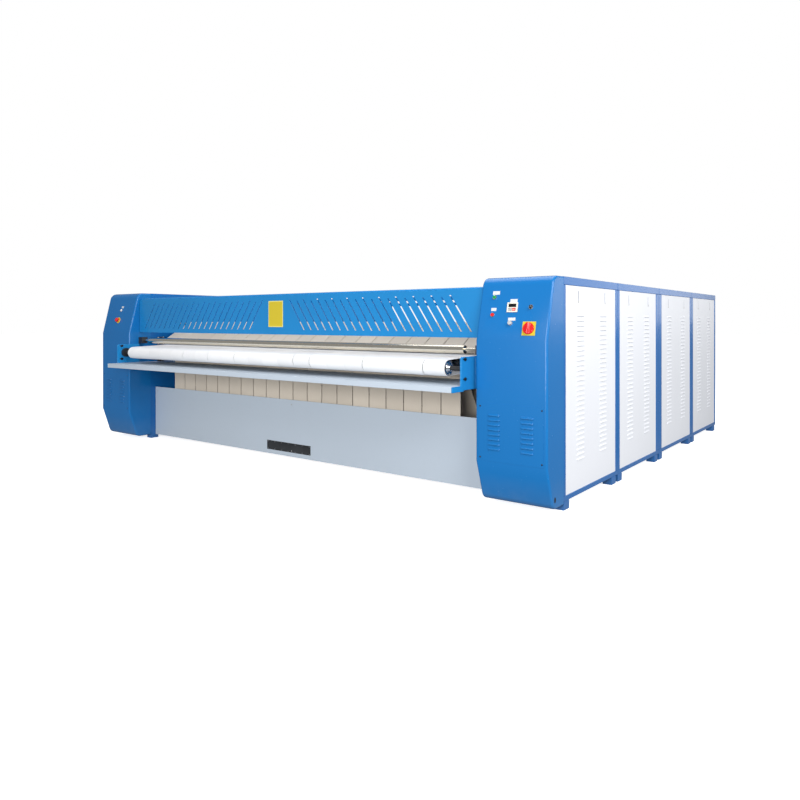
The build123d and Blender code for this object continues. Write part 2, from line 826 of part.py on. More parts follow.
def chain():
    """Two rows of link plates, joined by pins on the straight runs."""
    inner = sprocket_width / 2 + chain_side_gap
    half = chain_plate_height / 2
    wheels = [(cylinder_places[0], cylinder_height, cylinder_pitch_radius + half, 1),
              (cylinder_places[-1], cylinder_height, cylinder_pitch_radius + half, 1)]
    ring = pulley_loop(wheels, 0) - pulley_loop(wheels, chain_plate_height)
    rows = []
    for x in (sprocket_centre - inner - chain_plate, sprocket_centre + inner):
        rows.append(extrude(Plane(origin=(x, 0, 0), x_dir=(0, 1, 0), z_dir=(1, 0, 0)) * ring, chain_plate))
    loop = rows[0] + rows[1]
    reach = inner + chain_plate
    step = chain_pitch * chain_pin_step
    for i in range(1, int((cylinder_places[-1] - cylinder_places[0]) / step) + 1):
        y = cylinder_places[0] + i * step
        near_wheel = any(abs(y - place) < meshing(cylinder_pitch_radius) for place in cylinder_places)
        near_drive = abs(y - drive_place) < meshing(drive_pitch_radius)
        for z in (cylinder_height - cylinder_pitch_radius, cylinder_height + cylinder_pitch_radius):
            if not near_wheel and not near_drive:
                loop += rod(sprocket_centre - reach, sprocket_centre + reach, y, z, chain_pin)
    return loop


def gear_motor():
    """A worm gearbox on the wall with its motor hanging below."""
    half = gearbox_length / 2
    box = block(wall_outer, wall_outer + gearbox_width, drive_place - half, drive_place + half,
                drive_height - half, drive_height + half)
    box = fillet(box.edges().filter_by(Axis.X), gearbox_corner)
    box -= rod(wall_outer + gearbox_width - gearbox_seat, wall_outer + gearbox_width + overcut,
               drive_place, drive_height, drive_shaft + running_fit)
    x = wall_outer + motor_radius + motor_wall_gap
    top = drive_height - half
    motor = Pos(x, drive_place, top - motor_drop - motor_length / 2) * Cylinder(motor_radius, motor_length)
    neck = Pos(wall_outer + motor_neck_radius, drive_place, top - motor_drop / 2)
    neck = neck * Cylinder(motor_neck_radius, motor_drop + 2 * overlap)
    return box + motor + neck


def drive_sprocket():
    """The gearbox's output shaft with its sprocket."""
    x0 = wall_outer + gearbox_width - gearbox_seat + end_play
    wheel = sprocket(drive_teeth, drive_pitch_radius, sprocket_centre, drive_place, drive_height)
    hub_end = sprocket_centre + drive_hub_front
    wheel += rod(sprocket_centre - drive_hub_back, hub_end, drive_place, drive_height, drive_hub)
    return wheel + rod(x0, hub_end + drive_shaft_proud, drive_place, drive_height, drive_shaft)


# ---- steam ----
def pipe_run(x, z, radius, y0, y1):
    """A straight pipe along Y."""
    return Pos(x, (y0 + y1) / 2, z) * Rot(90, 0, 0) * Cylinder(radius, y1 - y0)


def steam_joints():
    """A rotary steam joint in the left journal of each cylinder."""
    made = []
    end = wall_outer + journal_out
    for place in cylinder_places:
        body = rod(-end - fit_gap, -end - union_length, place, cylinder_height, union_radius)
        body += rod(-end + union_plug, -end - fit_gap - overlap, place, cylinder_height,
                    journal_bore - running_fit)
        made.append(body)
    return group(made)


def header_lines():
    """X, height, radius and end radius of the steam supply header and of the condensate header."""
    return ((-(wall_outer + header_out), header_height, supply_pipe, supply_end),
            (-(wall_outer + drain_out), drain_height, return_pipe, return_end))


def steam_manifold():
    """The two headers on straps from the wall, and a drop pipe from the first to each joint."""
    made = []
    outlet = frame_rear + rear_reach
    for x, z, radius, end_radius in header_lines():
        pipe = pipe_run(x, z, radius, cylinder_places[0] - strap_offset, outlet)
        pipe += pipe_run(x, z, end_radius, outlet - pipe_end, outlet)
        for place in cylinder_places:
            y = place + strap_offset
            pipe += block(x, -wall_outer, y, y + strap_width, z - strap_thickness / 2, z + strap_thickness / 2)
            if not made:
                height = cylinder_height - union_radius - z
                pipe += Pos(x, place, z + height / 2) * Cylinder(drop_pipe, height)
        made.append(pipe)
    return group(made)


# ---- controls ----
def upright(low, high, radius):
    """A round piece between two heights over the fascia."""
    return Pos(0, 0, (low + high) / 2) * Cylinder(radius, high - low)


def bezel(side, spot):
    """A fixed ring on the fascia with its threaded neck through the sheet."""
    ring = upright(0, bezel_height, bezel_radius) - upright(0, bezel_height + overcut, bezel_bore)
    neck = upright(-neck_length, overlap, neck_radius)
    return fascia_plane(side, spot) * (ring + neck - upright(-neck_length - overcut, overcut, stem_radius))


def cap(low, high, radius, edge):
    """A round cap with a soft front edge, on a stem that reaches behind the fascia."""
    head = upright(low, high, radius)
    head = fillet(head.edges().group_by(Axis.Z)[-1], edge)
    return head + upright(-stem_length, low + overlap, stem_radius - running_fit)


def push_button(side, spot):
    base = overlap + press_travel + fit_gap
    return fascia_plane(side, spot) * cap(base, base + cap_height, cap_radius, cap_edge)


def emergency_button(side, spot):
    base = bezel_height + stop_travel + cap_clear
    return fascia_plane(side, spot) * cap(base, base + mushroom_height, mushroom_radius, mushroom_edge)


def selector_switch(side, spot):
    """A round switch with a raised grip across it."""
    top = cap_clear + selector_disc
    grip = Pos(0, 0, top + (selector_grip_height - overlap) / 2)
    grip = grip * Box(selector_grip, 2 * (cap_radius - cap_edge), selector_grip_height + overlap)
    return fascia_plane(side, spot) * (cap(cap_clear, top, cap_radius, cap_edge / 2) + grip)


def speed_knob(side, spot):
    """A small round knob with a pointer rib."""
    base = bezel_height + knob_lift
    top = base + knob_height
    rib = Pos(0, pointer_length / 2, top + (pointer_height - overlap) / 2)
    rib = rib * Box(pointer_width, pointer_length, pointer_height + overlap)
    return fascia_plane(side, spot) * (cap(base, top, knob_radius, knob_edge) + rib)


def main_switch(side, spot):
    """The large rotary handle of the supply switch."""
    base = switch_plate_height + fit_gap
    top = base + switch_knob_height
    grip = Pos(0, 0, top + (switch_grip_height - overlap) / 2)
    grip = grip * Box(switch_grip, 2 * (switch_knob - switch_grip_inset), switch_grip_height + overlap)
    return fascia_plane(side, spot) * (cap(base, top, switch_knob, switch_edge) + grip)


def switch_base(side, spot):
    """The square plate under the supply switch, with its neck through the sheet."""
    plate = Pos(0, 0, switch_plate_height / 2) * Box(switch_plate, switch_plate, switch_plate_height)
    neck = upright(-neck_length, overlap, neck_radius)
    return fascia_plane(side, spot) * (plate + neck - upright(-neck_length - overcut, neck_length, stem_radius))


def temperature_controller(side, spot):
    """The panel-mounted temperature controller: a raised rim and a body through the fascia."""
    rim = Pos(0, 0, controller_rim / 2) * Box(controller_width, controller_height, controller_rim)
    rim -= Pos(0, 0, controller_rim) * Box(controller_width - 2 * controller_frame,
                                           controller_height - 2 * controller_frame, 2 * controller_recess)
    width = controller_width - 2 * (controller_inset + fit_gap)
    height = controller_height - 2 * (controller_inset + fit_gap)
    body = Pos(0, 0, (overlap - controller_body) / 2) * Box(width, height, controller_body + overlap)
    return fascia_plane(side, spot) * (rim + body)


def control_bezels():
    rings = [bezel(1, spot) for spot in (start_spot, stop_spot, selector_spot, speed_spot)]
    rings += [bezel(-1, spot) for spot in (left_start_spot, emergency_spot)]
    return group(rings + [switch_base(1, main_spot)])


# ---- all pieces by name ----
def all_pieces():
    pieces = {}
    controller_hole = (controller_spot, controller_width - 2 * controller_inset,
                       controller_height - 2 * controller_inset)
    holes = {
        "left": ((left_start_spot, emergency_spot), ()),
        "right": ((start_spot, stop_spot, selector_spot, speed_spot, main_spot), (controller_hole,)),
    }
    for name, side in sides.items():
        pieces[name + "_console_shell"] = console_shell(side, *holes[name])
        pieces[name + "_console_cover"] = console_cover(side)
        pieces[name + "_outer_frame"] = outer_frame(side)
        pieces[name + "_bearing_wall"] = bearing_wall(side)
        pieces[name + "_top_cover"] = top_cover(side)
        pieces[name + "_roller_bracket"] = roller_bracket(side)
        for number, bay in enumerate(bays(), 1):
            pieces[f"{name}_side_panel_{number}"] = side_panel(side, bay)
    pieces["cross_members"] = cross_members()
    pieces["feed_table"] = folded_shelf(-table_reach, table_back, table_top, table_lip, table_half, table_sheet)
    tray_front = frame_rear + rear_reach
    pieces["delivery_tray"] = folded_shelf(tray_front, tray_front - tray_depth, tray_top, tray_lip,
                                           inner_face - fit_gap, table_sheet)
    pieces["front_lower_panel"] = lower_panel()
    pieces["rear_panels"] = rear_panels()
    pieces["finger_guard"] = guard()
    pieces["feed_belts"] = feed_belts()
    pieces["ironing_belts"] = ironing_belts()
    pieces["return_belts"] = return_belts()
    pieces["bearing_housings"] = bearing_housings()
    pieces["drive_chain"] = chain()
    pieces["gear_motor"] = gear_motor()
    pieces["drive_sprocket"] = drive_sprocket()
    pieces["steam_joints"] = steam_joints()
    pieces["steam_manifold"] = steam_manifold()
    for number, place in enumerate(cylinder_places, 1):
        pieces[f"cylinder_{number}"] = cylinder(place)
    pieces["feed_roller"] = feed_roller()
    pieces["press_roller"] = press_roller()
    pieces["nip_roller"] = roller(nip_place, nip_height, nip_radius)
    pieces["nose_roller"] = roller(nose_place, nose_height, nose_radius)
    pieces["tension_roller"] = roller(tension_place, turn_height, guide_radius)
    pieces["rear_turn_roller"] = roller(rear_roller_place, turn_height, guide_radius)
    for number, place in enumerate(dip_places, 1):
        pieces[f"wrap_roller_{number}"] = roller(place, dip_height, dip_radius)
    pieces["return_top_roller"] = roller(return_place, return_top, guide_radius)
    pieces["return_bottom_roller"] = roller(return_place, return_bottom, guide_radius)
    pieces["return_rear_roller"] = roller(rear_roller_place, return_rear_height, guide_radius)
    pieces["control_bezels"] = control_bezels()
    pieces["start_button"] = push_button(1, start_spot)
    pieces["stop_button"] = push_button(1, stop_spot)
    pieces["left_start_button"] = push_button(-1, left_start_spot)
    pieces["emergency_button"] = emergency_button(-1, emergency_spot)
    pieces["selector_switch"] = selector_switch(1, selector_spot)
    pieces["speed_knob"] = speed_knob(1, speed_spot)
    pieces["main_switch"] = main_switch(1, main_spot)
    pieces["temperature_controller"] = temperature_controller(1, controller_spot)
    return pieces


os.makedirs("parts", exist_ok=True)
for node, piece in all_pieces().items():
    export_step(Pos(0, y_shift, 0) * piece, f"parts/{node}.step")
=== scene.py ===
"""Flatwork ironer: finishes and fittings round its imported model, in metres."""
import json
import math

import bmesh
import bpy
from bpy.props import FloatProperty, FloatVectorProperty, PointerProperty
from mathutils import Matrix, Vector

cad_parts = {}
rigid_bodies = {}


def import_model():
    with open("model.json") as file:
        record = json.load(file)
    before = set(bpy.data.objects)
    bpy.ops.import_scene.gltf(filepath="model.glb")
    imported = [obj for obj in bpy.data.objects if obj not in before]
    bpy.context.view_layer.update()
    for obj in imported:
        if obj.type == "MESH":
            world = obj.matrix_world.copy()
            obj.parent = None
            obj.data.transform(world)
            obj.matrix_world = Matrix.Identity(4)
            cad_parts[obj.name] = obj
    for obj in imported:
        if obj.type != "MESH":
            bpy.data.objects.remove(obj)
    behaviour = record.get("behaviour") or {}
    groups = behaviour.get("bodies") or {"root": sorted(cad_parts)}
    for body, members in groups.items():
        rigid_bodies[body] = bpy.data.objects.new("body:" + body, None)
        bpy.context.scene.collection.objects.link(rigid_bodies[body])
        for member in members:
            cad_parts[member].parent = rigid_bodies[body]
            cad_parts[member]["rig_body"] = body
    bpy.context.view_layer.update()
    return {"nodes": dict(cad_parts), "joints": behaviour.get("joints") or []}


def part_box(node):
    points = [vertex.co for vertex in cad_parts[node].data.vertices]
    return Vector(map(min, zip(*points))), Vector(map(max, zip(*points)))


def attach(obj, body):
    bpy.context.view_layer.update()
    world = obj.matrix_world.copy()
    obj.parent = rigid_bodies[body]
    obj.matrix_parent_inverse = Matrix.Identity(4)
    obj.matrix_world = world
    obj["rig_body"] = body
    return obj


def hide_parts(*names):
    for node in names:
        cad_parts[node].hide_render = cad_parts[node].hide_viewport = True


bl_info = {
    "name": "Flatwork ironer",
    "version": (1, 0, 0),
    "blender": (4, 5, 0),
    "location": "3D View > Sidebar > Ironer",
    "description": "Finishes and fittings of a four-cylinder flatwork ironer",
    "category": "Object",
}

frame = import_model()

# ---- places read from the frame ----
sides = {"left": -1, "right": 1}
shell_low, shell_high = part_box("right_console_shell")
inner_face = shell_low.x
half_width = shell_high.x
console_front = shell_low.y
console_rear = shell_high.y
top_height = shell_high.z
frame_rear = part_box("right_outer_frame")[1].y
axes = {joint["child"]: joint for joint in frame["joints"]}
lean = math.asin(-axes["start_button"]["axis"][2])
panels = [f"side_panel_{number}" for number in range(1, 5)]
rollers = ["nose_roller", "tension_roller", "rear_turn_roller", "nip_roller", "return_top_roller",
           "return_bottom_roller", "return_rear_roller", "wrap_roller_1", "wrap_roller_2", "wrap_roller_3"]
cylinders = [f"cylinder_{number}" for number in range(1, 5)]

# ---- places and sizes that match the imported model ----
wall_plate = 0.012
frame_tube = 0.040
foot_top = 0.056
foot_length = 0.082
foot_width = 0.070
front_foot = 0.006       # a module's front foot behind its front
rear_foot = 0.122        # a module's rear foot before its rear
bracket_gap = 0.019      # between a roller bracket and the wall
bracket_plate = 0.010
adjuster_lead = 0.035    # bracket bolts in front of the feed roller's axis
adjuster_rise = 0.062
feed_roller_gap = 0.162  # from a wall to the feed roller's drum
cylinder_gap = 0.115     # from a wall to a cylinder's head
head_bolts = 16
head_bolt_circle = 0.335
cylinder_flange = 0.095  # from a bearing's middle to its bolts, along and up
roller_flange = 0.029
feed_belt_pitch = 0.17076
ironing_belt_pitch = 0.1655
motor_inset = 0.071      # from the side of the gear motor's box to its axis
motor_fins = 32
lid_screw_lead = 0.08    # lid screws from a module's front and rear
lid_screw_insets = (0.030, 0.018)  # from the console's inner face and from the tube frame
vent_rows = 30
vent_pitch = 0.032
vent_top = 1.205
vent_inset = 0.2395
vent_size = (0.122, 0.011, 0.0045)
hook_inset = 0.2045
hook_screw_height = 1.297
louvre_rows = 8
louvre_width = 0.084
louvre_pitch = 0.030
louvre_middle = 0.479
louvre_column = 0.1135
notice_height = 1.2315
notice_size = (0.170, 0.213)
notice_border = 0.007
grommet_lead = 0.107     # cable hole in a console's cheek, behind its front
grommet_height = 0.094
black_plate_size = (0.520, 0.078, 0.0016)
black_plate_x = -0.04
black_plate_height = 0.110
rear_screw_heights = (0.12, 0.50, 0.95, 1.38)
rear_sheet_screws = (-1.90, -0.95, 0.0, 0.95, 1.90)
rear_sheet_rows = (0.530, 0.090)

# ---- places on the fascias, as (X, height) ----
fascia_start = 1.052
controller_spot = (2.190, 1.257)
emergency_spot = (-2.199, 1.182)


# ---- sizes and colours that a user would change ----
def colour(name, text, value):
    return FloatVectorProperty(name=name, description=text, subtype="COLOR", size=3,
                               min=0.0, max=1.0, default=value)


def length(name, text, value):
    return FloatProperty(name=name, description=text, unit="LENGTH", min=0.0, default=value)


class IronerPaint(bpy.types.PropertyGroup):
    """Colours of the paints and belts."""
    console: colour("Console", "Paint of the two consoles", (0.006, 0.150, 0.43))
    frame: colour("Frame", "Paint of the tube frames, walls and brackets", (0.006, 0.125, 0.40))
    # Also laid on the roller brackets as painted light: its lighter blue stands for the strong light from
    # the right on them, though they wear the frame's blue.
    guard: colour("Guard", "Paint of the finger guard", (0.014, 0.215, 0.52))
    panel: colour("Side panels", "Powder coat of the louvred panels", (0.80, 0.815, 0.86))
    sheet: colour("Sheets", "Paint of the table, the front sheet and the tray", (0.50, 0.57, 0.65))
    feed_belt: colour("Feed belts", "Woven belts of the feed table", (0.86, 0.86, 0.87))
    ironing_belt: colour("Ironing belts", "Needled belts over the cylinders", (0.68, 0.60, 0.50))
    plate: colour("Notice plate", "Bare plate on the finger guard", (0.60, 0.47, 0.03))


class IronerSizes(bpy.types.PropertyGroup):
    """Sizes of the fittings."""
    edge: length("Sheet edge", "Radius of an eased sheet edge", 0.0008)
    tube_edge: length("Tube edge", "Radius of a frame tube's corner", 0.004)
    hood_depth: length("Louvre depth", "How far a louvre stands out of its sheet", 0.0065)
    hood_height: length("Louvre height", "Height of one louvre", 0.0125)
    screw: length("Screw head", "Radius of a cover screw's head", 0.0055)
    bolt: length("Bolt head", "Radius of a housing bolt's head", 0.0085)
    label: length("Label thickness", "Thickness of a bare label plate", 0.0008)


# ---- finishes ----
class Value:
    """A shader socket whose Python arithmetic adds Math nodes."""

    def __init__(self, finish, socket):
        self.finish = finish
        self.socket = socket

    def maths(self, operation, other=None, swapped=False):
        pair = (other, self) if swapped else (self, other)
        return self.finish.node("ShaderNodeMath", {"operation": operation}, dict(enumerate(pair)))

    def __add__(self, other):
        return self.maths("ADD", other)

    def __sub__(self, other):
        return self.maths("SUBTRACT", other)

    def __rsub__(self, other):
        return self.maths("SUBTRACT", other, swapped=True)

    def __mul__(self, other):
        return self.maths("MULTIPLY", other)

    def __truediv__(self, other):
        return self.maths("DIVIDE", other)

    __radd__ = __add__
    __rmul__ = __mul__

    def clamped(self):
        return self.maths("MAXIMUM", 0.0).maths("MINIMUM", 1.0)


class Finish:
    """One material, built on Object coordinates in metres."""

    def __init__(self, name):
        self.material = bpy.data.materials.new(name)
        self.material.use_nodes = True
        self.tree = self.material.node_tree
        self.shader = self.tree.nodes["Principled BSDF"]
        self.point = self.node("ShaderNodeTexCoord", out="Object")

    def node(self, kind, settings=None, sockets=None, out=0):
        """A node of a type, with its settings made first and then its sockets set or linked."""
        made = self.tree.nodes.new(kind)
        for key, value in (settings or {}).items():
            setattr(made, key, value)
        for key, value in (sockets or {}).items():
            self.plug(made.inputs[key], value)
        return Value(self, made.outputs[out])

    def plug(self, socket, value):
        if isinstance(value, Value):
            self.tree.links.new(value.socket, socket)
        elif value is not None:
            socket.default_value = value

    def axis(self, letter):
        return self.node("ShaderNodeSeparateXYZ", sockets={0: self.point}, out=letter)

    def stretched(self, scale):
        return self.node("ShaderNodeMapping", sockets={"Vector": self.point, "Scale": scale})

    def noise(self, scale, detail=2.0, where=None):
        sockets = {"Vector": where or self.point, "Scale": scale, "Detail": detail}
        return self.node("ShaderNodeTexNoise", sockets=sockets)

    def waves(self, direction, scale):
        settings = {"wave_type": "BANDS", "bands_direction": direction, "wave_profile": "SIN"}
        return self.node("ShaderNodeTexWave", settings, {"Vector": self.point, "Scale": scale}, out="Fac")

    def mix(self, factor, first, second):
        return self.node("ShaderNodeMix", {"data_type": "RGBA"}, {0: factor, 6: first, 7: second}, out=2)

    def bump(self, height, distance):
        return self.node("ShaderNodeBump", sockets={"Strength": 1.0, "Distance": distance, "Height": height})

    def done(self, **sockets):
        """Sets or links the shader's own sockets, named with _ for a space."""
        for key, value in sockets.items():
            self.plug(self.shader.inputs[key.replace("_", " ")], value)
        return self.material


def rgba(shade, factor=1.0):
    return (*(min(1.0, part * factor) for part in shade), 1.0)


def enamel(name, shade, roughness=0.26, peel=0.00006):
    """Sprayed gloss paint: slight drift of tone, orange peel, scuffs and dust towards the floor."""
    finish = Finish(name)
    drift = finish.noise(1.1, 2.0)
    scuffs = ((finish.noise(42.0, 6.0) - 0.70) * 5.0).clamped()
    dust = ((0.22 - finish.axis("Z")) * 2.2).clamped() * finish.noise(9.0, 5.0)
    tone = finish.mix(drift, rgba(shade, 1.10), rgba(shade, 0.90))
    tone = finish.mix(scuffs * 0.05, tone, rgba(shade, 1.4))
    tone = finish.mix(dust * 0.5, tone, (0.30, 0.32, 0.34, 1.0))
    grain = finish.noise(520.0, 1.0)
    return finish.done(Base_Color=tone, Roughness=(drift * 0.08 + scuffs * 0.15 + (roughness - 0.04)),
                       Coat_Weight=0.12, Coat_Roughness=0.12, Specular_IOR_Level=0.3,
                       Normal=finish.bump(grain, peel))


def powder_coat(name, shade):
    """Fine-textured powder coat on the pale sheets."""
    finish = Finish(name)
    drift = finish.noise(0.8, 3.0)
    marks = ((finish.noise(30.0, 8.0) - 0.60) * 4.0).clamped()
    dust = ((0.20 - finish.axis("Z")) * 2.5).clamped() * finish.noise(7.0, 5.0)
    tone = finish.mix(drift, rgba(shade, 1.03), rgba(shade, 0.95))
    tone = finish.mix(marks * 0.12 + dust * 0.4, tone, rgba(shade, 0.7))
    grain = finish.noise(850.0, 2.0)
    return finish.done(Base_Color=tone, Roughness=drift * 0.10 + marks * 0.1 + 0.38,
                       Normal=finish.bump(grain, 0.00008))


def webbing(name, shade, thread, pitch, first, edge_tone):
    """Woven or needled belt: threads both ways, tone drifting from belt to belt.

    The belts stand side by side at a pitch, counted from a first one."""
    finish = Finish(name)
    x = finish.axis("X")
    belt_number = (x / pitch + first).maths("FLOOR")
    belt_tone = finish.node("ShaderNodeTexWhiteNoise", {"noise_dimensions": "1D"}, {"W": belt_number},
                            out="Value")
    across = finish.waves("X", thread)
    along = finish.waves("Z", thread * 0.8) * finish.waves("Y", thread * 0.8)
    cloth = finish.noise(260.0, 6.0)
    stains = ((finish.noise(3.2, 6.0) - 0.52) * 3.0).clamped()
    tone = finish.mix(belt_tone, rgba(shade, 1.05), rgba(shade, 0.93))
    tone = finish.mix(stains * 0.35, tone, rgba(shade, edge_tone))
    tone = finish.mix(cloth * 0.35, tone, rgba(shade, 0.82))
    height = across * 0.4 + along * 0.4 + cloth
    return finish.done(Base_Color=tone, Roughness=cloth * 0.2 + 0.72, Sheen_Weight=0.15,
                       Normal=finish.bump(height, 0.0004))


def turned_metal(name, shade, roughness, stretch, stain=0.25):
    """Turned or ground metal with fine rings along a stretched axis."""
    finish = Finish(name)
    rings = finish.noise(1.0, 3.0, finish.stretched(stretch))
    patches = finish.noise(6.0, 5.0)
    tone = finish.mix(rings, rgba(shade, 1.08), rgba(shade, 0.88))
    tone = finish.mix(((patches - 0.5) * 2.0).clamped() * stain, tone, rgba(shade, 0.55))
    return finish.done(Base_Color=tone, Metallic=1.0, Roughness=rings * 0.10 + patches * 0.10 + roughness,
                       Normal=finish.bump(rings, 0.00003))


def casting(name, shade, metallic=0.6):
    """Sand-cast iron, machined only at its bore."""
    finish = Finish(name)
    pits = finish.noise(240.0, 5.0)
    patches = finish.noise(14.0, 5.0)
    tone = finish.mix(patches, rgba(shade, 1.25), rgba(shade, 0.65))
    return finish.done(Base_Color=tone, Metallic=metallic, Roughness=patches * 0.2 + 0.42,
                       Normal=finish.bump(pits, 0.0004))


def moulding(name, shade, roughness=0.3, texture=0.00004):
    """Moulded plastic with faint spark texture and handling marks."""
    finish = Finish(name)
    grain = finish.noise(1600.0, 2.0)
    handling = finish.noise(60.0, 4.0)
    tone = finish.mix(handling, rgba(shade, 1.12), rgba(shade, 0.88))
    return finish.done(Base_Color=tone, Roughness=handling * 0.15 + (roughness - 0.06),
                       Normal=finish.bump(grain, texture))


def floor_paint(name, shade):
    """Pale studio floor that glows a little, so that it shows no horizon."""
    finish = Finish(name)
    drift = finish.noise(0.3, 2.0)
    tone = finish.mix(drift, rgba(shade, 1.01), rgba(shade, 0.99))
    return finish.done(Base_Color=tone, Roughness=drift * 0.05 + 0.6, Emission_Color=(1.0, 1.0, 1.0, 1.0),
                       Emission_Strength=0.80)


finishes = {}


def make_finishes(paint):
    """All finishes by name, made once."""
    along_x = (180.0, 6.0, 6.0)
    finishes.update({
        "console": enamel("console_enamel", paint.console),
        "frame": enamel("frame_enamel", paint.frame),
        # This enamel also lies on the roller brackets as painted light, lighter than their own frame blue.
        "guard": enamel("guard_and_lit_bracket_enamel", paint.guard),
        "panel": powder_coat("panel_powder", paint.panel),
        "sheet": powder_coat("sheet_powder", paint.sheet),
        "feed_belt": webbing("feed_webbing", paint.feed_belt, 320.0, feed_belt_pitch, 0.5, 0.85),
        "ironing_belt": webbing("ironing_webbing", paint.ironing_belt, 240.0, ironing_belt_pitch, 0.0, 0.78),
        "drum": turned_metal("drum_steel", (0.66, 0.65, 0.63), 0.16, along_x, 0.35),
        "roller": turned_metal("roller_steel", (0.70, 0.70, 0.71), 0.18, along_x),
        "chrome": turned_metal("hard_chrome", (0.86, 0.80, 0.68), 0.04, along_x, 0.05),
        "bezel": turned_metal("bezel_chrome", (0.85, 0.85, 0.86), 0.06, (900.0, 900.0, 900.0), 0.05),
        "bolt": turned_metal("bolt_zinc", (0.62, 0.62, 0.60), 0.22, (300.0, 300.0, 300.0)),
        "dark_bolt": turned_metal("black_oxide", (0.05, 0.05, 0.055), 0.30, (300.0, 300.0, 300.0)),
        "housing": casting("housing_casting", (0.040, 0.045, 0.055)),
        "gear": turned_metal("gear_steel", (0.30, 0.29, 0.28), 0.28, along_x, 0.5),
        "motor": enamel("motor_enamel", (0.10, 0.12, 0.14), 0.4),
        "pipe": casting("pipe_steel", (0.22, 0.20, 0.19), 0.8),
        "yellow": enamel("notice_yellow", paint.plate, 0.35),
        "orange": enamel("notice_border", (0.80, 0.70, 0.18), 0.35),
        "black_plate": enamel("nameless_black", (0.012, 0.013, 0.016), 0.35),
        "label": moulding("label_white", (0.62, 0.64, 0.66), 0.4),
        "green": moulding("button_green", (0.01, 0.30, 0.07), 0.18),
        "red": moulding("button_red", (0.72, 0.012, 0.015), 0.18),
        "white": moulding("button_white", (0.80, 0.80, 0.80), 0.15),
        "collar": moulding("collar_yellow", (0.80, 0.50, 0.01), 0.3),
        "black": moulding("knob_black", (0.012, 0.012, 0.014), 0.25),
        "grey": moulding("knob_grey", (0.45, 0.46, 0.48), 0.3),
        "cream": moulding("case_cream", (0.74, 0.71, 0.62), 0.38),
        "display": moulding("display_black", (0.004, 0.004, 0.005), 0.08, 0.00001),
        "key": moulding("key_grey", (0.30, 0.31, 0.32), 0.4),
        "rubber": moulding("grommet_rubber", (0.015, 0.015, 0.016), 0.6),
        "floor": floor_paint("studio_floor", (0.93, 0.93, 0.93)),
    })


# ---- shapes ----
def facing(normal, at, up=(0.0, 0.0, 1.0)):
    """The place of a fitting: its Z along the normal, its Y as near up as it can be."""
    z = Vector(normal).normalized()
    x = Vector(up).cross(z).normalized()
    place = Matrix((x, z.cross(x), z)).transposed().to_4x4()
    place.translation = at
    return place


def on_fascia(spot, out=0.0):
    """A place on a leaning fascia, a little way out of it."""
    x, z = spot
    normal = Vector((0.0, -math.cos(lean), math.sin(lean)))
    y = console_front + max(0.0, z - fascia_start) * math.tan(lean)
    return facing(normal, Vector((x, y, z)) + normal * out)


def finished(bm, name, finish, body, smooth=32.0):
    """Makes a bmesh an object at the origin, smooth below an angle, riding on a body."""
    bmesh.ops.recalc_face_normals(bm, faces=bm.faces)
    mesh = bpy.data.meshes.new(name)
    bm.to_mesh(mesh)
    bm.free()
    mesh.materials.append(finishes[finish])
    mesh.shade_smooth()
    mesh.set_sharp_from_angle(angle=math.radians(smooth))
    made = bpy.data.objects.new(name, mesh)
    bpy.context.scene.collection.objects.link(made)
    even = made.modifiers.new("even_shading", "WEIGHTED_NORMAL")
    even.keep_sharp = True
    even.weight = 100
    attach(made, body)
    return made


def dressed(node, finish, edge=0.0, name=None, smooth=32.0):
    """A welded copy of a node with eased edges, which stands for it."""
    body = frame["nodes"][node]["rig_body"]
    bm = bmesh.new()
    bm.from_mesh(frame["nodes"][node].data)
    bmesh.ops.remove_doubles(bm, verts=bm.verts, dist=0.00001)
    bmesh.ops.dissolve_limit(bm, angle_limit=math.radians(0.5), verts=bm.verts, edges=bm.edges)
    if edge:
        sharp = [e for e in bm.edges if len(e.link_faces) == 2 and e.calc_face_angle() > math.radians(40.0)]
        bmesh.ops.bevel(bm, geom=sharp, offset=edge, offset_type="OFFSET", segments=2, profile=0.5,
                        affect="EDGES", clamp_overlap=True, material=-1)
    made = finished(bm, name or node + "_finished", finish, body, smooth)
    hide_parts(node)
    return made


def painted(node, finish):
    """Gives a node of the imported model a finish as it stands."""
    materials = frame["nodes"][node].data.materials
    materials.clear()
    materials.append(finishes[finish])


def add_block(bm, place, size, edge=0.0):
    """A box about a place, its edges eased."""
    matrix = place @ Matrix.Diagonal((*size, 1.0))
    verts = bmesh.ops.create_cube(bm, size=1.0, matrix=matrix)["verts"]
    if edge:
        edges = list({e for v in verts for e in v.link_edges})
        bmesh.ops.bevel(bm, geom=edges, offset=edge, offset_type="OFFSET", segments=2, profile=0.5,
                        affect="EDGES", clamp_overlap=True, material=-1)


def add_span(bm, low, high, edge=0.0):
    """A box between two corners."""
    low = Vector(low)
    high = Vector(high)
    add_block(bm, Matrix.Translation((low + high) / 2), high - low, edge)


def add_mesh(bm, place, mesh):
    """A copy of a mesh that was made about the origin."""
    copy = mesh.copy()
    copy.transform(place)
    bm.from_mesh(copy)
    bpy.data.meshes.remove(copy)


def part_mesh(build, *sizes):
    """The mesh of one fitting, made about the origin in a bmesh of its own."""
    bm = bmesh.new()
    build(bm, *sizes)
    bmesh.ops.recalc_face_normals(bm, faces=bm.faces)
    mesh = bpy.data.meshes.new("fitting")
    bm.to_mesh(mesh)
    bm.free()
    return mesh


def turned(bm, profile, steps=24):
    """A turned piece about Z from (radius, height) points."""
    verts = [bm.verts.new((radius, 0.0, height)) for radius, height in profile]
    edges = [bm.edges.new(pair) for pair in zip(verts, verts[1:])]
    bmesh.ops.spin(bm, geom=verts + edges, cent=(0, 0, 0), axis=(0, 0, 1), angle=math.tau,
                   steps=steps, use_merge=True)
    bmesh.ops.remove_doubles(bm, verts=bm.verts, dist=0.00001)


def add_turned(bm, place, profile, steps=24):
    add_mesh(bm, place, part_mesh(turned, profile, steps))


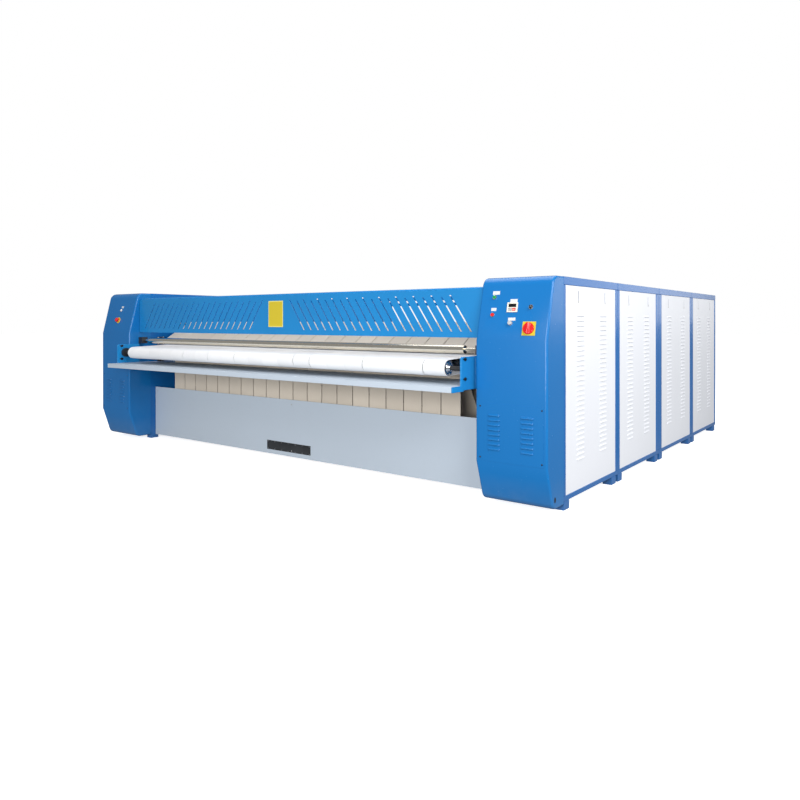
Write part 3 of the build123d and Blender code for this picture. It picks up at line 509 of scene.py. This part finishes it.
def screw_head(bm, radius, steps=14):
    """A domed screw head with a shallow recess."""
    height = radius * 0.5
    turned(bm, [
        (0.0, height * 0.45), (radius * 0.32, height * 0.5), (radius * 0.42, height),
        (radius * 0.85, height * 0.62), (radius, 0.0), (radius, -height * 0.2), (0.0, -height * 0.2),
    ], steps)


def bolt_head(bm, radius):
    """A hexagon head on its washer."""
    washer = radius * 1.45
    rise = radius * 0.25
    place = Matrix.Translation((0.0, 0.0, rise + radius * 0.35))
    verts = bmesh.ops.create_cone(bm, cap_ends=True, segments=6, radius1=radius, radius2=radius,
                                  depth=radius * 0.7, matrix=place)["verts"]
    edges = list({e for v in verts for e in v.link_edges})
    bmesh.ops.bevel(bm, geom=edges, offset=radius * 0.08, offset_type="OFFSET", segments=1, profile=0.5,
                    affect="EDGES", clamp_overlap=True, material=-1)
    add_turned(bm, Matrix(), [(0.0, rise), (washer * 0.96, rise), (washer, rise * 0.7), (washer, -rise),
                              (0.0, -rise)], 16)


def hood(bm, width, height, depth, wall=0.0012):
    """A pressed louvre: a quarter of a long round, open along its lower edge."""
    straight = width / 2 - height * 0.6
    rounding = Matrix.Diagonal((height * 0.6, height, depth, 1.0)) @ Matrix.Rotation(math.pi / 2, 4, "Y")
    bmesh.ops.create_uvsphere(bm, u_segments=16, v_segments=7, radius=1.0, matrix=rounding)
    for direction in (-1, 1):
        half = [v for v in bm.verts if v.co.x * direction > 0]
        bmesh.ops.translate(bm, vec=(direction * straight, 0.0, 0.0), verts=half)
    for point, normal in (((0, 0, 0), (0, 0, -1)), ((0, -height * 0.1, 0), (0, -1, 0))):
        geom = bm.verts[:] + bm.edges[:] + bm.faces[:]
        bmesh.ops.bisect_plane(bm, geom=geom, plane_co=point, plane_no=normal, clear_outer=True)
    bmesh.ops.recalc_face_normals(bm, faces=bm.faces)
    bmesh.ops.solidify(bm, geom=bm.faces[:], thickness=wall)


def fittings(name, finish, body, build, places, *sizes):
    """Like fittings in one object, one at each place."""
    bm = bmesh.new()
    mesh = part_mesh(build, *sizes)
    for place in places:
        add_mesh(bm, place, mesh)
    return finished(bm, name, finish, body)


def settings():
    return bpy.context.scene.ironer_sizes


class IronerOperator(bpy.types.Operator):
    bl_options = {"REGISTER", "UNDO"}

    def execute(self, context):
        self.build(settings())
        return {"FINISHED"}


# ---- consoles ----
def console_screws(side):
    """Places of the screws at the corners of a console's cover."""
    low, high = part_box(("left" if side < 0 else "right") + "_console_cover")
    found = []
    for x in (low.x + 0.010, high.x - 0.010):
        for z in (low.z + 0.020, high.z - 0.020):
            found.append(facing((0, -1, 0), (x, low.y, z)))
    return found


def cover_louvres(side):
    """Places of the louvres over a cover's slots: two columns of eight."""
    middle = side * (inner_face + half_width) / 2
    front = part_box("right_console_cover")[0].y
    found = []
    for column in (-louvre_column, louvre_column):
        for row in range(louvre_rows):
            z = louvre_middle + louvre_pitch * (row - (louvre_rows - 1) / 2)
            found.append(facing((0, -1, 0), (middle + column, front, z)))
    return found


class IRONER_OT_consoles(IronerOperator):
    """Paint the console housings and add the louvres, screws and cable holes"""
    bl_idname = "ironer.consoles"
    bl_label = "Consoles"

    def build(self, sizes):
        for name, side in sides.items():
            dressed(name + "_console_shell", "console", sizes.edge)
            dressed(name + "_console_cover", "console", sizes.edge / 2)
            fittings(name + "_console_louvres", "console", "machine", hood, cover_louvres(side),
                     louvre_width, sizes.hood_height, sizes.hood_depth)
            fittings(name + "_console_screws", "dark_bolt", "machine", screw_head, console_screws(side),
                     sizes.screw)
            bm = bmesh.new()
            cheek = facing((side, 0, 0), (side * half_width, console_front + grommet_lead, grommet_height))
            oval = cheek @ Matrix.Diagonal((0.6, 1.0, 1.0, 1.0))
            add_turned(bm, oval, [(0.010, 0.0), (0.010, 0.0012), (0.014, 0.002), (0.017, 0.0012),
                                  (0.017, 0.0)], 28)
            add_turned(bm, oval, [(0.0, 0.0006), (0.010, 0.0006), (0.010, -0.0004), (0.0, -0.0004)], 28)
            finished(bm, name + "_cable_grommet", "rubber", "machine")


# ---- frames ----
def frame_modules():
    """Each frame module's front, bay front, bay rear and rear, from the panels that hang in it."""
    boxes = [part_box("right_" + panel) for panel in panels]
    seams = [console_rear]
    for before, after in zip(boxes, boxes[1:]):
        seams.append((before[1].y + after[0].y) / 2)
    seams.append(frame_rear)
    return [(seams[i], box[0].y, box[1].y, seams[i + 1]) for i, box in enumerate(boxes)]


class IRONER_OT_frames(IronerOperator):
    """Build the welded tube frames with their rails, posts and feet, and the lids on top"""
    bl_idname = "ironer.frames"
    bl_label = "Frames"

    def build(self, sizes):
        low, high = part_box("right_" + panels[0])
        outer = half_width
        inner = outer - frame_tube
        air = 0.0005
        for name, side in sides.items():
            bm = bmesh.new()
            for start, bay_start, bay_end, end in frame_modules():
                start += air
                end -= air
                for z0, z1 in ((foot_top, low.z - air), (high.z + air, top_height)):
                    add_span(bm, (side * inner, start, z0), (side * outer, end, z1), sizes.tube_edge)
                for y0, y1 in ((start, bay_start - air), (bay_end + air, end)):
                    add_span(bm, (side * (inner + air), y0, low.z - air),
                             (side * (outer - air), y1, high.z + air), sizes.tube_edge)
                for y0 in (start + front_foot, end - rear_foot):
                    add_span(bm, (side * (outer - foot_width), y0, 0.0),
                             (side * outer, y0 + foot_length, foot_top), sizes.tube_edge)
            made = finished(bm, name + "_tube_frame", "frame", "machine")
            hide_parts(name + "_outer_frame")
            dressed(name + "_top_cover", "frame", sizes.edge)
            places = []
            for start, bay_start, bay_end, end in frame_modules():
                for y in (start + lid_screw_lead, (start + end) / 2, end - lid_screw_lead):
                    for x in (inner_face + lid_screw_insets[0], inner - lid_screw_insets[1]):
                        places.append(facing((0, 0, 1), (side * x, y, top_height), up=(0, 1, 0)))
            fittings(name + "_lid_screws", "bolt", "machine", screw_head, places, sizes.screw)


# ---- side panels ----
class IRONER_OT_side_panels(IronerOperator):
    """Coat the side panels and add their pressed louvres and hook screws"""
    bl_idname = "ironer.side_panels"
    bl_label = "Side panels"

    def build(self, sizes):
        for name, side in sides.items():
            for panel in panels:
                node = f"{name}_{panel}"
                low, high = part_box(node)
                face = high.x if side > 0 else low.x
                dressed(node, "panel")
                places = []
                for y in (low.y + vent_inset, high.y - vent_inset):
                    for row in range(vent_rows):
                        places.append(facing((side, 0, 0), (face, y, vent_top - vent_pitch * row)))
                fittings(node + "_louvres", "panel", "machine", hood, places, *vent_size)
                hooks = [facing((side, 0, 0), (face, y, hook_screw_height))
                         for y in (low.y + hook_inset, high.y - hook_inset)]
                fittings(node + "_hook_screws", "bolt", "machine", screw_head, hooks, 0.0065)


# ---- walls and brackets ----
class IRONER_OT_walls(IronerOperator):
    """Paint the bearing walls, cross members and roller brackets and add the bracket bolts"""
    bl_idname = "ironer.walls"
    bl_label = "Walls and brackets"

    def build(self, sizes):
        for name, side in sides.items():
            painted(name + "_bearing_wall", "frame")
            # Painted light: the brackets take the lighter guard blue in place of the frame's blue, standing
            # for the strong light from the right on their faces.
            dressed(name + "_roller_bracket", "guard", 0.0015)
            axis_y, axis_z = axes["feed_roller"]["pos_m"][1:]
            places = []
            outer = inner_face - bracket_gap
            for rise in (-adjuster_rise, adjuster_rise):
                for out, x in ((side, outer), (-side, outer - bracket_plate)):
                    places.append(facing((out, 0, 0), (side * x, axis_y - adjuster_lead, axis_z + rise)))
            fittings(name + "_adjuster_bolts", "dark_bolt", "machine", bolt_head, places, 0.0085)
        painted("cross_members", "frame")


# ---- finger guard ----
def on_guard(x, z, out):
    """A place on the front face of the finger guard."""
    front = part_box("finger_guard")[0].y
    return facing((0, -1, 0), (x, front - out, z))


class IRONER_OT_guard(IronerOperator):
    """Paint the slotted finger guard and add its bare notice plate"""
    bl_idname = "ironer.guard"
    bl_label = "Finger guard"

    def build(self, sizes):
        dressed("finger_guard", "guard", 0.0006)
        width, height = notice_size
        thickness = 1.5 * sizes.label
        for name, finish, inset, out, edge in (
                ("guard_plate_border", "orange", 0.0, thickness / 2, 0.0005),
                ("guard_plate", "yellow", 2 * notice_border, thickness, 0.0004)):
            bm = bmesh.new()
            size = (width - inset, height - inset, thickness)
            add_block(bm, on_guard(0.0, notice_height, out), size, edge)
            finished(bm, name, finish, "finger_guard")
        across, up = width / 2 - 0.012, height / 2 - 0.0145
        corners = [on_guard(a * across, notice_height + b * up, 1.5 * thickness)
                   for a in (-1, 1) for b in (-1, 1)]
        fittings("guard_plate_rivets", "bolt", "finger_guard", screw_head, corners, 0.0022)


# ---- feed end ----
class IRONER_OT_feed_end(IronerOperator):
    """Finish the feed table, feed roller and press roller, with the feed roller's end caps"""
    bl_idname = "ironer.feed_end"
    bl_label = "Feed end"

    def build(self, sizes):
        dressed("feed_table", "sheet", sizes.edge)
        dressed("feed_roller", "rubber")
        dressed("press_roller", "chrome")
        axis_y, axis_z = axes["feed_roller"]["pos_m"][1:]
        bm = bmesh.new()
        for side in (-1, 1):
            end = facing((side, 0, 0), (side * (inner_face - feed_roller_gap), axis_y, axis_z))
            add_turned(bm, end, [
                (0.016, 0.0), (0.0475, 0.0), (0.0475, 0.0015), (0.0445, 0.003), (0.041, 0.003),
                (0.039, 0.0012), (0.034, 0.0012), (0.032, 0.004), (0.022, 0.004), (0.022, 0.016),
                (0.0205, 0.018), (0.0152, 0.018),
            ], 48)
        finished(bm, "feed_roller_caps", "bezel", "feed_roller")


# ---- belts ----
class IRONER_OT_belts(IronerOperator):
    """Weave the feed belts, ironing belts and return belts"""
    bl_idname = "ironer.belts"
    bl_label = "Belts"

    def build(self, sizes):
        dressed("feed_belts", "feed_belt", smooth=40.0)
        dressed("ironing_belts", "ironing_belt", smooth=40.0)
        dressed("return_belts", "ironing_belt", smooth=40.0)


# ---- cylinders and rollers ----
class IRONER_OT_cylinders(IronerOperator):
    """Finish the heated cylinders and rollers and bolt on the cylinder heads"""
    bl_idname = "ironer.cylinders"
    bl_label = "Cylinders and rollers"

    def build(self, sizes):
        for node in cylinders:
            dressed(node, "drum")
            y, z = axes[node]["pos_m"][1:]
            places = []
            for side in (-1, 1):
                for step in range(head_bolts):
                    angle = math.tau * step / head_bolts
                    at = (side * (inner_face - cylinder_gap), y + head_bolt_circle * math.cos(angle),
                          z + head_bolt_circle * math.sin(angle))
                    places.append(facing((side, 0, 0), at))
            fittings(node + "_head_bolts", "bolt", node, bolt_head, places, 0.010)
        for node in rollers:
            dressed(node, "roller")


# ---- bearings ----
def flange_places(node):
    """Places of the four bolts at each end of a roller's flanged bearings."""
    y, z = axes[node]["pos_m"][1:]
    if node in cylinders:
        reach, at_x, out = cylinder_flange, inner_face + wall_plate + 0.020, 1
    else:
        reach, at_x, out = roller_flange, inner_face - 0.008, -1
    found = []
    for side in (-1, 1):
        for a in (-1, 1):
            for b in (-1, 1):
                found.append(facing((side * out, 0, 0), (side * at_x, y + a * reach, z + b * reach)))
    return found


class IRONER_OT_bearings(IronerOperator):
    """Cast the bearing housings and add their bolts"""
    bl_idname = "ironer.bearings"
    bl_label = "Bearings"

    def build(self, sizes):
        dressed("bearing_housings", "housing", 0.0015)
        small = [place for node in rollers for place in flange_places(node)]
        fittings("roller_bearing_bolts", "bolt", "machine", bolt_head, small, sizes.bolt * 0.7)
        large = [place for node in cylinders for place in flange_places(node)]
        fittings("cylinder_bearing_bolts", "bolt", "machine", bolt_head, large, sizes.bolt * 1.6)


# ---- front sheet ----
class IRONER_OT_front_sheet(IronerOperator):
    """Coat the lower front sheet and add its screws and the bare black plate"""
    bl_idname = "ironer.front_sheet"
    bl_label = "Front sheet"

    def build(self, sizes):
        dressed("front_lower_panel", "sheet", sizes.edge / 2)
        low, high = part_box("front_lower_panel")
        corners = []
        for x in (low.x + 0.03, 0.0, high.x - 0.03):
            for z in (low.z + 0.05, high.z - 0.04):
                corners.append(facing((0, -1, 0), (x, low.y, z)))
        fittings("front_sheet_screws", "bolt", "machine", screw_head, corners, sizes.screw)
        bm = bmesh.new()
        half = black_plate_size[2] / 2
        middle = Vector((black_plate_x, low.y - half, black_plate_height))
        add_block(bm, facing((0, -1, 0), middle), black_plate_size, 0.0006)
        finished(bm, "front_black_plate", "black_plate", "machine")
        rivets = []
        for x in range(-3, 4):
            for z in (-0.031, 0.031):
                rivets.append(facing((0, -1, 0), middle + Vector((x * 0.082, -half, z))))
        fittings("front_plate_rivets", "bolt", "machine", screw_head, rivets, 0.0028)


# ---- controls ----
def label_places():
    """Middle, width and height of each bare label plate."""
    return {
        "start_label": ((2.0655, 1.350), 0.049, 0.024),
        "stop_label": ((2.060, 1.2455), 0.036, 0.020),
        "controller_label": ((2.1945, 1.2985), 0.049, 0.021),
        "speed_label": ((2.193, 1.1850), 0.050, 0.019),
        "left_start_label": ((-2.172, 1.3120), 0.034, 0.020),
    }


class IRONER_OT_controls(IronerOperator):
    """Finish the buttons, switches and controller and add the bare label plates"""
    bl_idname = "ironer.controls"
    bl_label = "Controls"

    def build(self, sizes):
        for node, finish in {
            "control_bezels": "bezel", "start_button": "green", "stop_button": "red",
            "left_start_button": "white", "emergency_button": "red", "selector_switch": "black",
            "speed_knob": "grey", "main_switch": "red",
        }.items():
            dressed(node, finish, smooth=50.0)
        dressed("temperature_controller", "cream", 0.0012)
        for name, (spot, width, height) in label_places().items():
            bm = bmesh.new()
            add_block(bm, on_fascia(spot, sizes.label / 2), (width, height, sizes.label), sizes.label / 3)
            finished(bm, name, "label", "machine")
        self.switch_plate()
        self.controller_face()
        bm = bmesh.new()
        add_turned(bm, on_fascia(emergency_spot), [
            (0.0147, 0.0), (0.0147, 0.0035), (0.028, 0.0035), (0.030, 0.0022), (0.030, 0.0), (0.0147, 0.0),
        ], 48)
        finished(bm, "emergency_collar", "collar", "machine")

    def switch_plate(self):
        """A yellow front over the supply switch's square base, with a hole for its stem."""
        at = axes["main_switch"]["pos_m"]
        place = on_fascia((at[0], at[2])) @ Matrix.Rotation(math.pi / 4, 4, "Z")
        profile = [(0.010, 0.0), (0.010, 0.00415), (0.0431, 0.00415), (0.0435, 0.0038), (0.0435, 0.0),
                   (0.010, 0.0)]
        bm = bmesh.new()
        add_turned(bm, place, [(half * math.sqrt(2.0), rise) for half, rise in profile], 4)
        finished(bm, "supply_switch_plate", "yellow", "machine")

    def controller_face(self):
        """The display window and keys of the temperature controller."""
        place = on_fascia(controller_spot)
        bm = bmesh.new()
        add_block(bm, place @ Matrix.Translation((0.0, 0.0115, 0.0058)), (0.052, 0.021, 0.0012), 0.0004)
        finished(bm, "controller_display", "display", "machine")
        for name, finish, columns in (("controller_keys", "key", (-0.0195, -0.0065)),
                                      ("controller_red_keys", "red", (0.0065, 0.0195))):
            bm = bmesh.new()
            for x in columns:
                for y in (-0.0085, -0.0185):
                    key = place @ Matrix.Translation((x, y, 0.0064))
                    add_block(bm, key, (0.0105, 0.0075, 0.0022), 0.0006)
            finished(bm, name, finish, "machine")


# ---- drive and steam ----
class IRONER_OT_drive(IronerOperator):
    """Finish the chain drive and add the motor's fins and cowl"""
    bl_idname = "ironer.drive"
    bl_label = "Drive"

    def build(self, sizes):
        dressed("drive_sprocket", "gear")
        dressed("drive_chain", "gear")
        dressed("gear_motor", "motor", 0.0015)
        low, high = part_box("gear_motor")
        x = low.x + motor_inset
        y = (low.y + high.y) / 2
        bm = bmesh.new()
        for step in range(motor_fins):
            angle = math.tau * step / motor_fins
            spin = Matrix.Translation((x, y, low.z + 0.130)) @ Matrix.Rotation(angle, 4, "Z")
            add_block(bm, spin @ Matrix.Translation((0.071, 0.0, 0.0)), (0.010, 0.0025, 0.150), 0.0006)
        finished(bm, "motor_fins", "motor", "machine")
        bm = bmesh.new()
        add_turned(bm, Matrix.Translation((x, y, low.z)), [
            (0.0, -0.004), (0.060, -0.004), (0.072, 0.004), (0.074, 0.050), (0.0695, 0.050),
            (0.0695, 0.002), (0.0, 0.002),
        ], 48)
        finished(bm, "motor_cowl", "motor", "machine")


class IRONER_OT_steam(IronerOperator):
    """Finish the steam joints and headers"""
    bl_idname = "ironer.steam"
    bl_label = "Steam lines"

    def build(self, sizes):
        dressed("steam_joints", "housing", 0.0012)
        dressed("steam_manifold", "pipe")


# ---- rear ----
class IRONER_OT_rear(IronerOperator):
    """Paint the rear sheets and the delivery tray and add their screws"""
    bl_idname = "ironer.rear"
    bl_label = "Rear"

    def build(self, sizes):
        dressed("rear_panels", "frame", sizes.edge / 2)
        dressed("delivery_tray", "sheet", sizes.edge)
        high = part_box("rear_panels")[1]
        places = []
        for side in (-1, 1):
            for x in (inner_face + 0.025, high.x - 0.025):
                for z in rear_screw_heights:
                    places.append(facing((0, 1, 0), (side * x, high.y, z)))
        for x in rear_sheet_screws:
            for z in rear_sheet_rows:
                places.append(facing((0, 1, 0), (x, high.y, z)))
        fittings("rear_screws", "bolt", "machine", screw_head, places, sizes.screw)


# ---- stage ----
def soft_light(name, at, target, size, power, shade=(1.0, 1.0, 1.0)):
    lamp = bpy.data.lights.new(name, "AREA")
    lamp.shape = "RECTANGLE"
    lamp.size, lamp.size_y = size
    lamp.energy = power
    lamp.color = shade
    made = bpy.data.objects.new(name, lamp)
    made.location = at
    made.rotation_euler = (Vector(target) - Vector(at)).to_track_quat("-Z", "Y").to_euler()
    bpy.context.scene.collection.objects.link(made)


def studio_world(strength):
    """Even white surroundings that light the model more softly than they show."""
    world = bpy.data.worlds.new("studio")
    world.use_nodes = True
    nodes = world.node_tree.nodes
    links = world.node_tree.links
    light = nodes["Background"]
    light.inputs["Color"].default_value = (0.94, 0.97, 1.0, 1.0)
    light.inputs["Strength"].default_value = strength
    shown = nodes.new("ShaderNodeBackground")
    shown.inputs["Color"].default_value = (1.0, 1.0, 1.0, 1.0)
    mixer = nodes.new("ShaderNodeMixShader")
    links.new(nodes.new("ShaderNodeLightPath").outputs["Is Camera Ray"], mixer.inputs[0])
    links.new(light.outputs[0], mixer.inputs[1])
    links.new(shown.outputs[0], mixer.inputs[2])
    links.new(mixer.outputs[0], nodes["World Output"].inputs[0])
    return world


class IRONER_OT_stage(IronerOperator):
    """Lay the pale floor, hang the soft lights and set up the camera"""
    bl_idname = "ironer.stage"
    bl_label = "Stage"

    def build(self, sizes):
        scene = bpy.context.scene
        bm = bmesh.new()
        bmesh.ops.create_grid(bm, x_segments=2, y_segments=2, size=60.0)
        mesh = bpy.data.meshes.new("floor")
        bm.to_mesh(mesh)
        bm.free()
        mesh.materials.append(finishes["floor"])
        floor = bpy.data.objects.new("floor", mesh)
        scene.collection.objects.link(floor)
        floor.visible_diffuse = False
        floor.visible_glossy = False
        scene.world = studio_world(0.30)
        soft_light("key_light", (6.5, -5.2, 4.6), (2.4, -1.4, 0.7), (3.2, 3.2), 310.0)
        soft_light("side_light", (8.0, -1.2, 3.2), (2.4, -0.8, 0.9), (4.0, 3.0), 240.0)
        soft_light("front_light", (2.2, -8.5, 1.6), (0.6, -1.8, 0.8), (5.0, 2.4), 360.0)
        soft_light("top_light", (0.0, 0.0, 6.5), (0.0, -0.5, 0.0), (6.0, 6.0), 260.0)
        soft_light("rear_light", (6.0, 9.0, 2.6), (2.4, 1.0, 1.2), (4.0, 3.0), 60.0)
        camera = bpy.data.cameras.new("camera")
        camera.lens = 30.85
        camera.sensor_width = 36.0
        camera.shift_y = -0.0984
        made = bpy.data.objects.new("camera", camera)
        made.location = (4.1857, -5.7642, 1.1716)
        made.rotation_euler = (math.radians(90.0), 0.0, math.radians(37.05))
        scene.collection.objects.link(made)
        scene.camera = made
        scene.view_settings.view_transform = "Standard"


# ---- the panel and the whole job ----
operators = [IRONER_OT_consoles, IRONER_OT_frames, IRONER_OT_side_panels, IRONER_OT_walls, IRONER_OT_guard,
             IRONER_OT_feed_end, IRONER_OT_belts, IRONER_OT_cylinders, IRONER_OT_bearings,
             IRONER_OT_front_sheet, IRONER_OT_controls, IRONER_OT_drive, IRONER_OT_steam, IRONER_OT_rear,
             IRONER_OT_stage]


class IRONER_PT_panel(bpy.types.Panel):
    """Sizes, colours and building steps of the ironer"""
    bl_label = "Flatwork ironer"
    bl_space_type = "VIEW_3D"
    bl_region_type = "UI"
    bl_category = "Ironer"

    def draw(self, context):
        for group in (context.scene.ironer_paint, context.scene.ironer_sizes):
            for name in group.bl_rna.properties.keys():
                if name not in ("rna_type", "name"):
                    self.layout.prop(group, name)
        for operator in operators:
            self.layout.operator(operator.bl_idname)


classes = [IronerPaint, IronerSizes, *operators, IRONER_PT_panel]


def register():
    for cls in classes:
        bpy.utils.register_class(cls)
    bpy.types.Scene.ironer_paint = PointerProperty(type=IronerPaint)
    bpy.types.Scene.ironer_sizes = PointerProperty(type=IronerSizes)


def unregister():
    del bpy.types.Scene.ironer_sizes
    del bpy.types.Scene.ironer_paint
    for cls in reversed(classes):
        bpy.utils.unregister_class(cls)


def main():
    register()
    make_finishes(bpy.context.scene.ironer_paint)
    for operator in operators:
        group, name = operator.bl_idname.split(".")
        getattr(getattr(bpy.ops, group), name)()


if __name__ == "__main__":
    main()
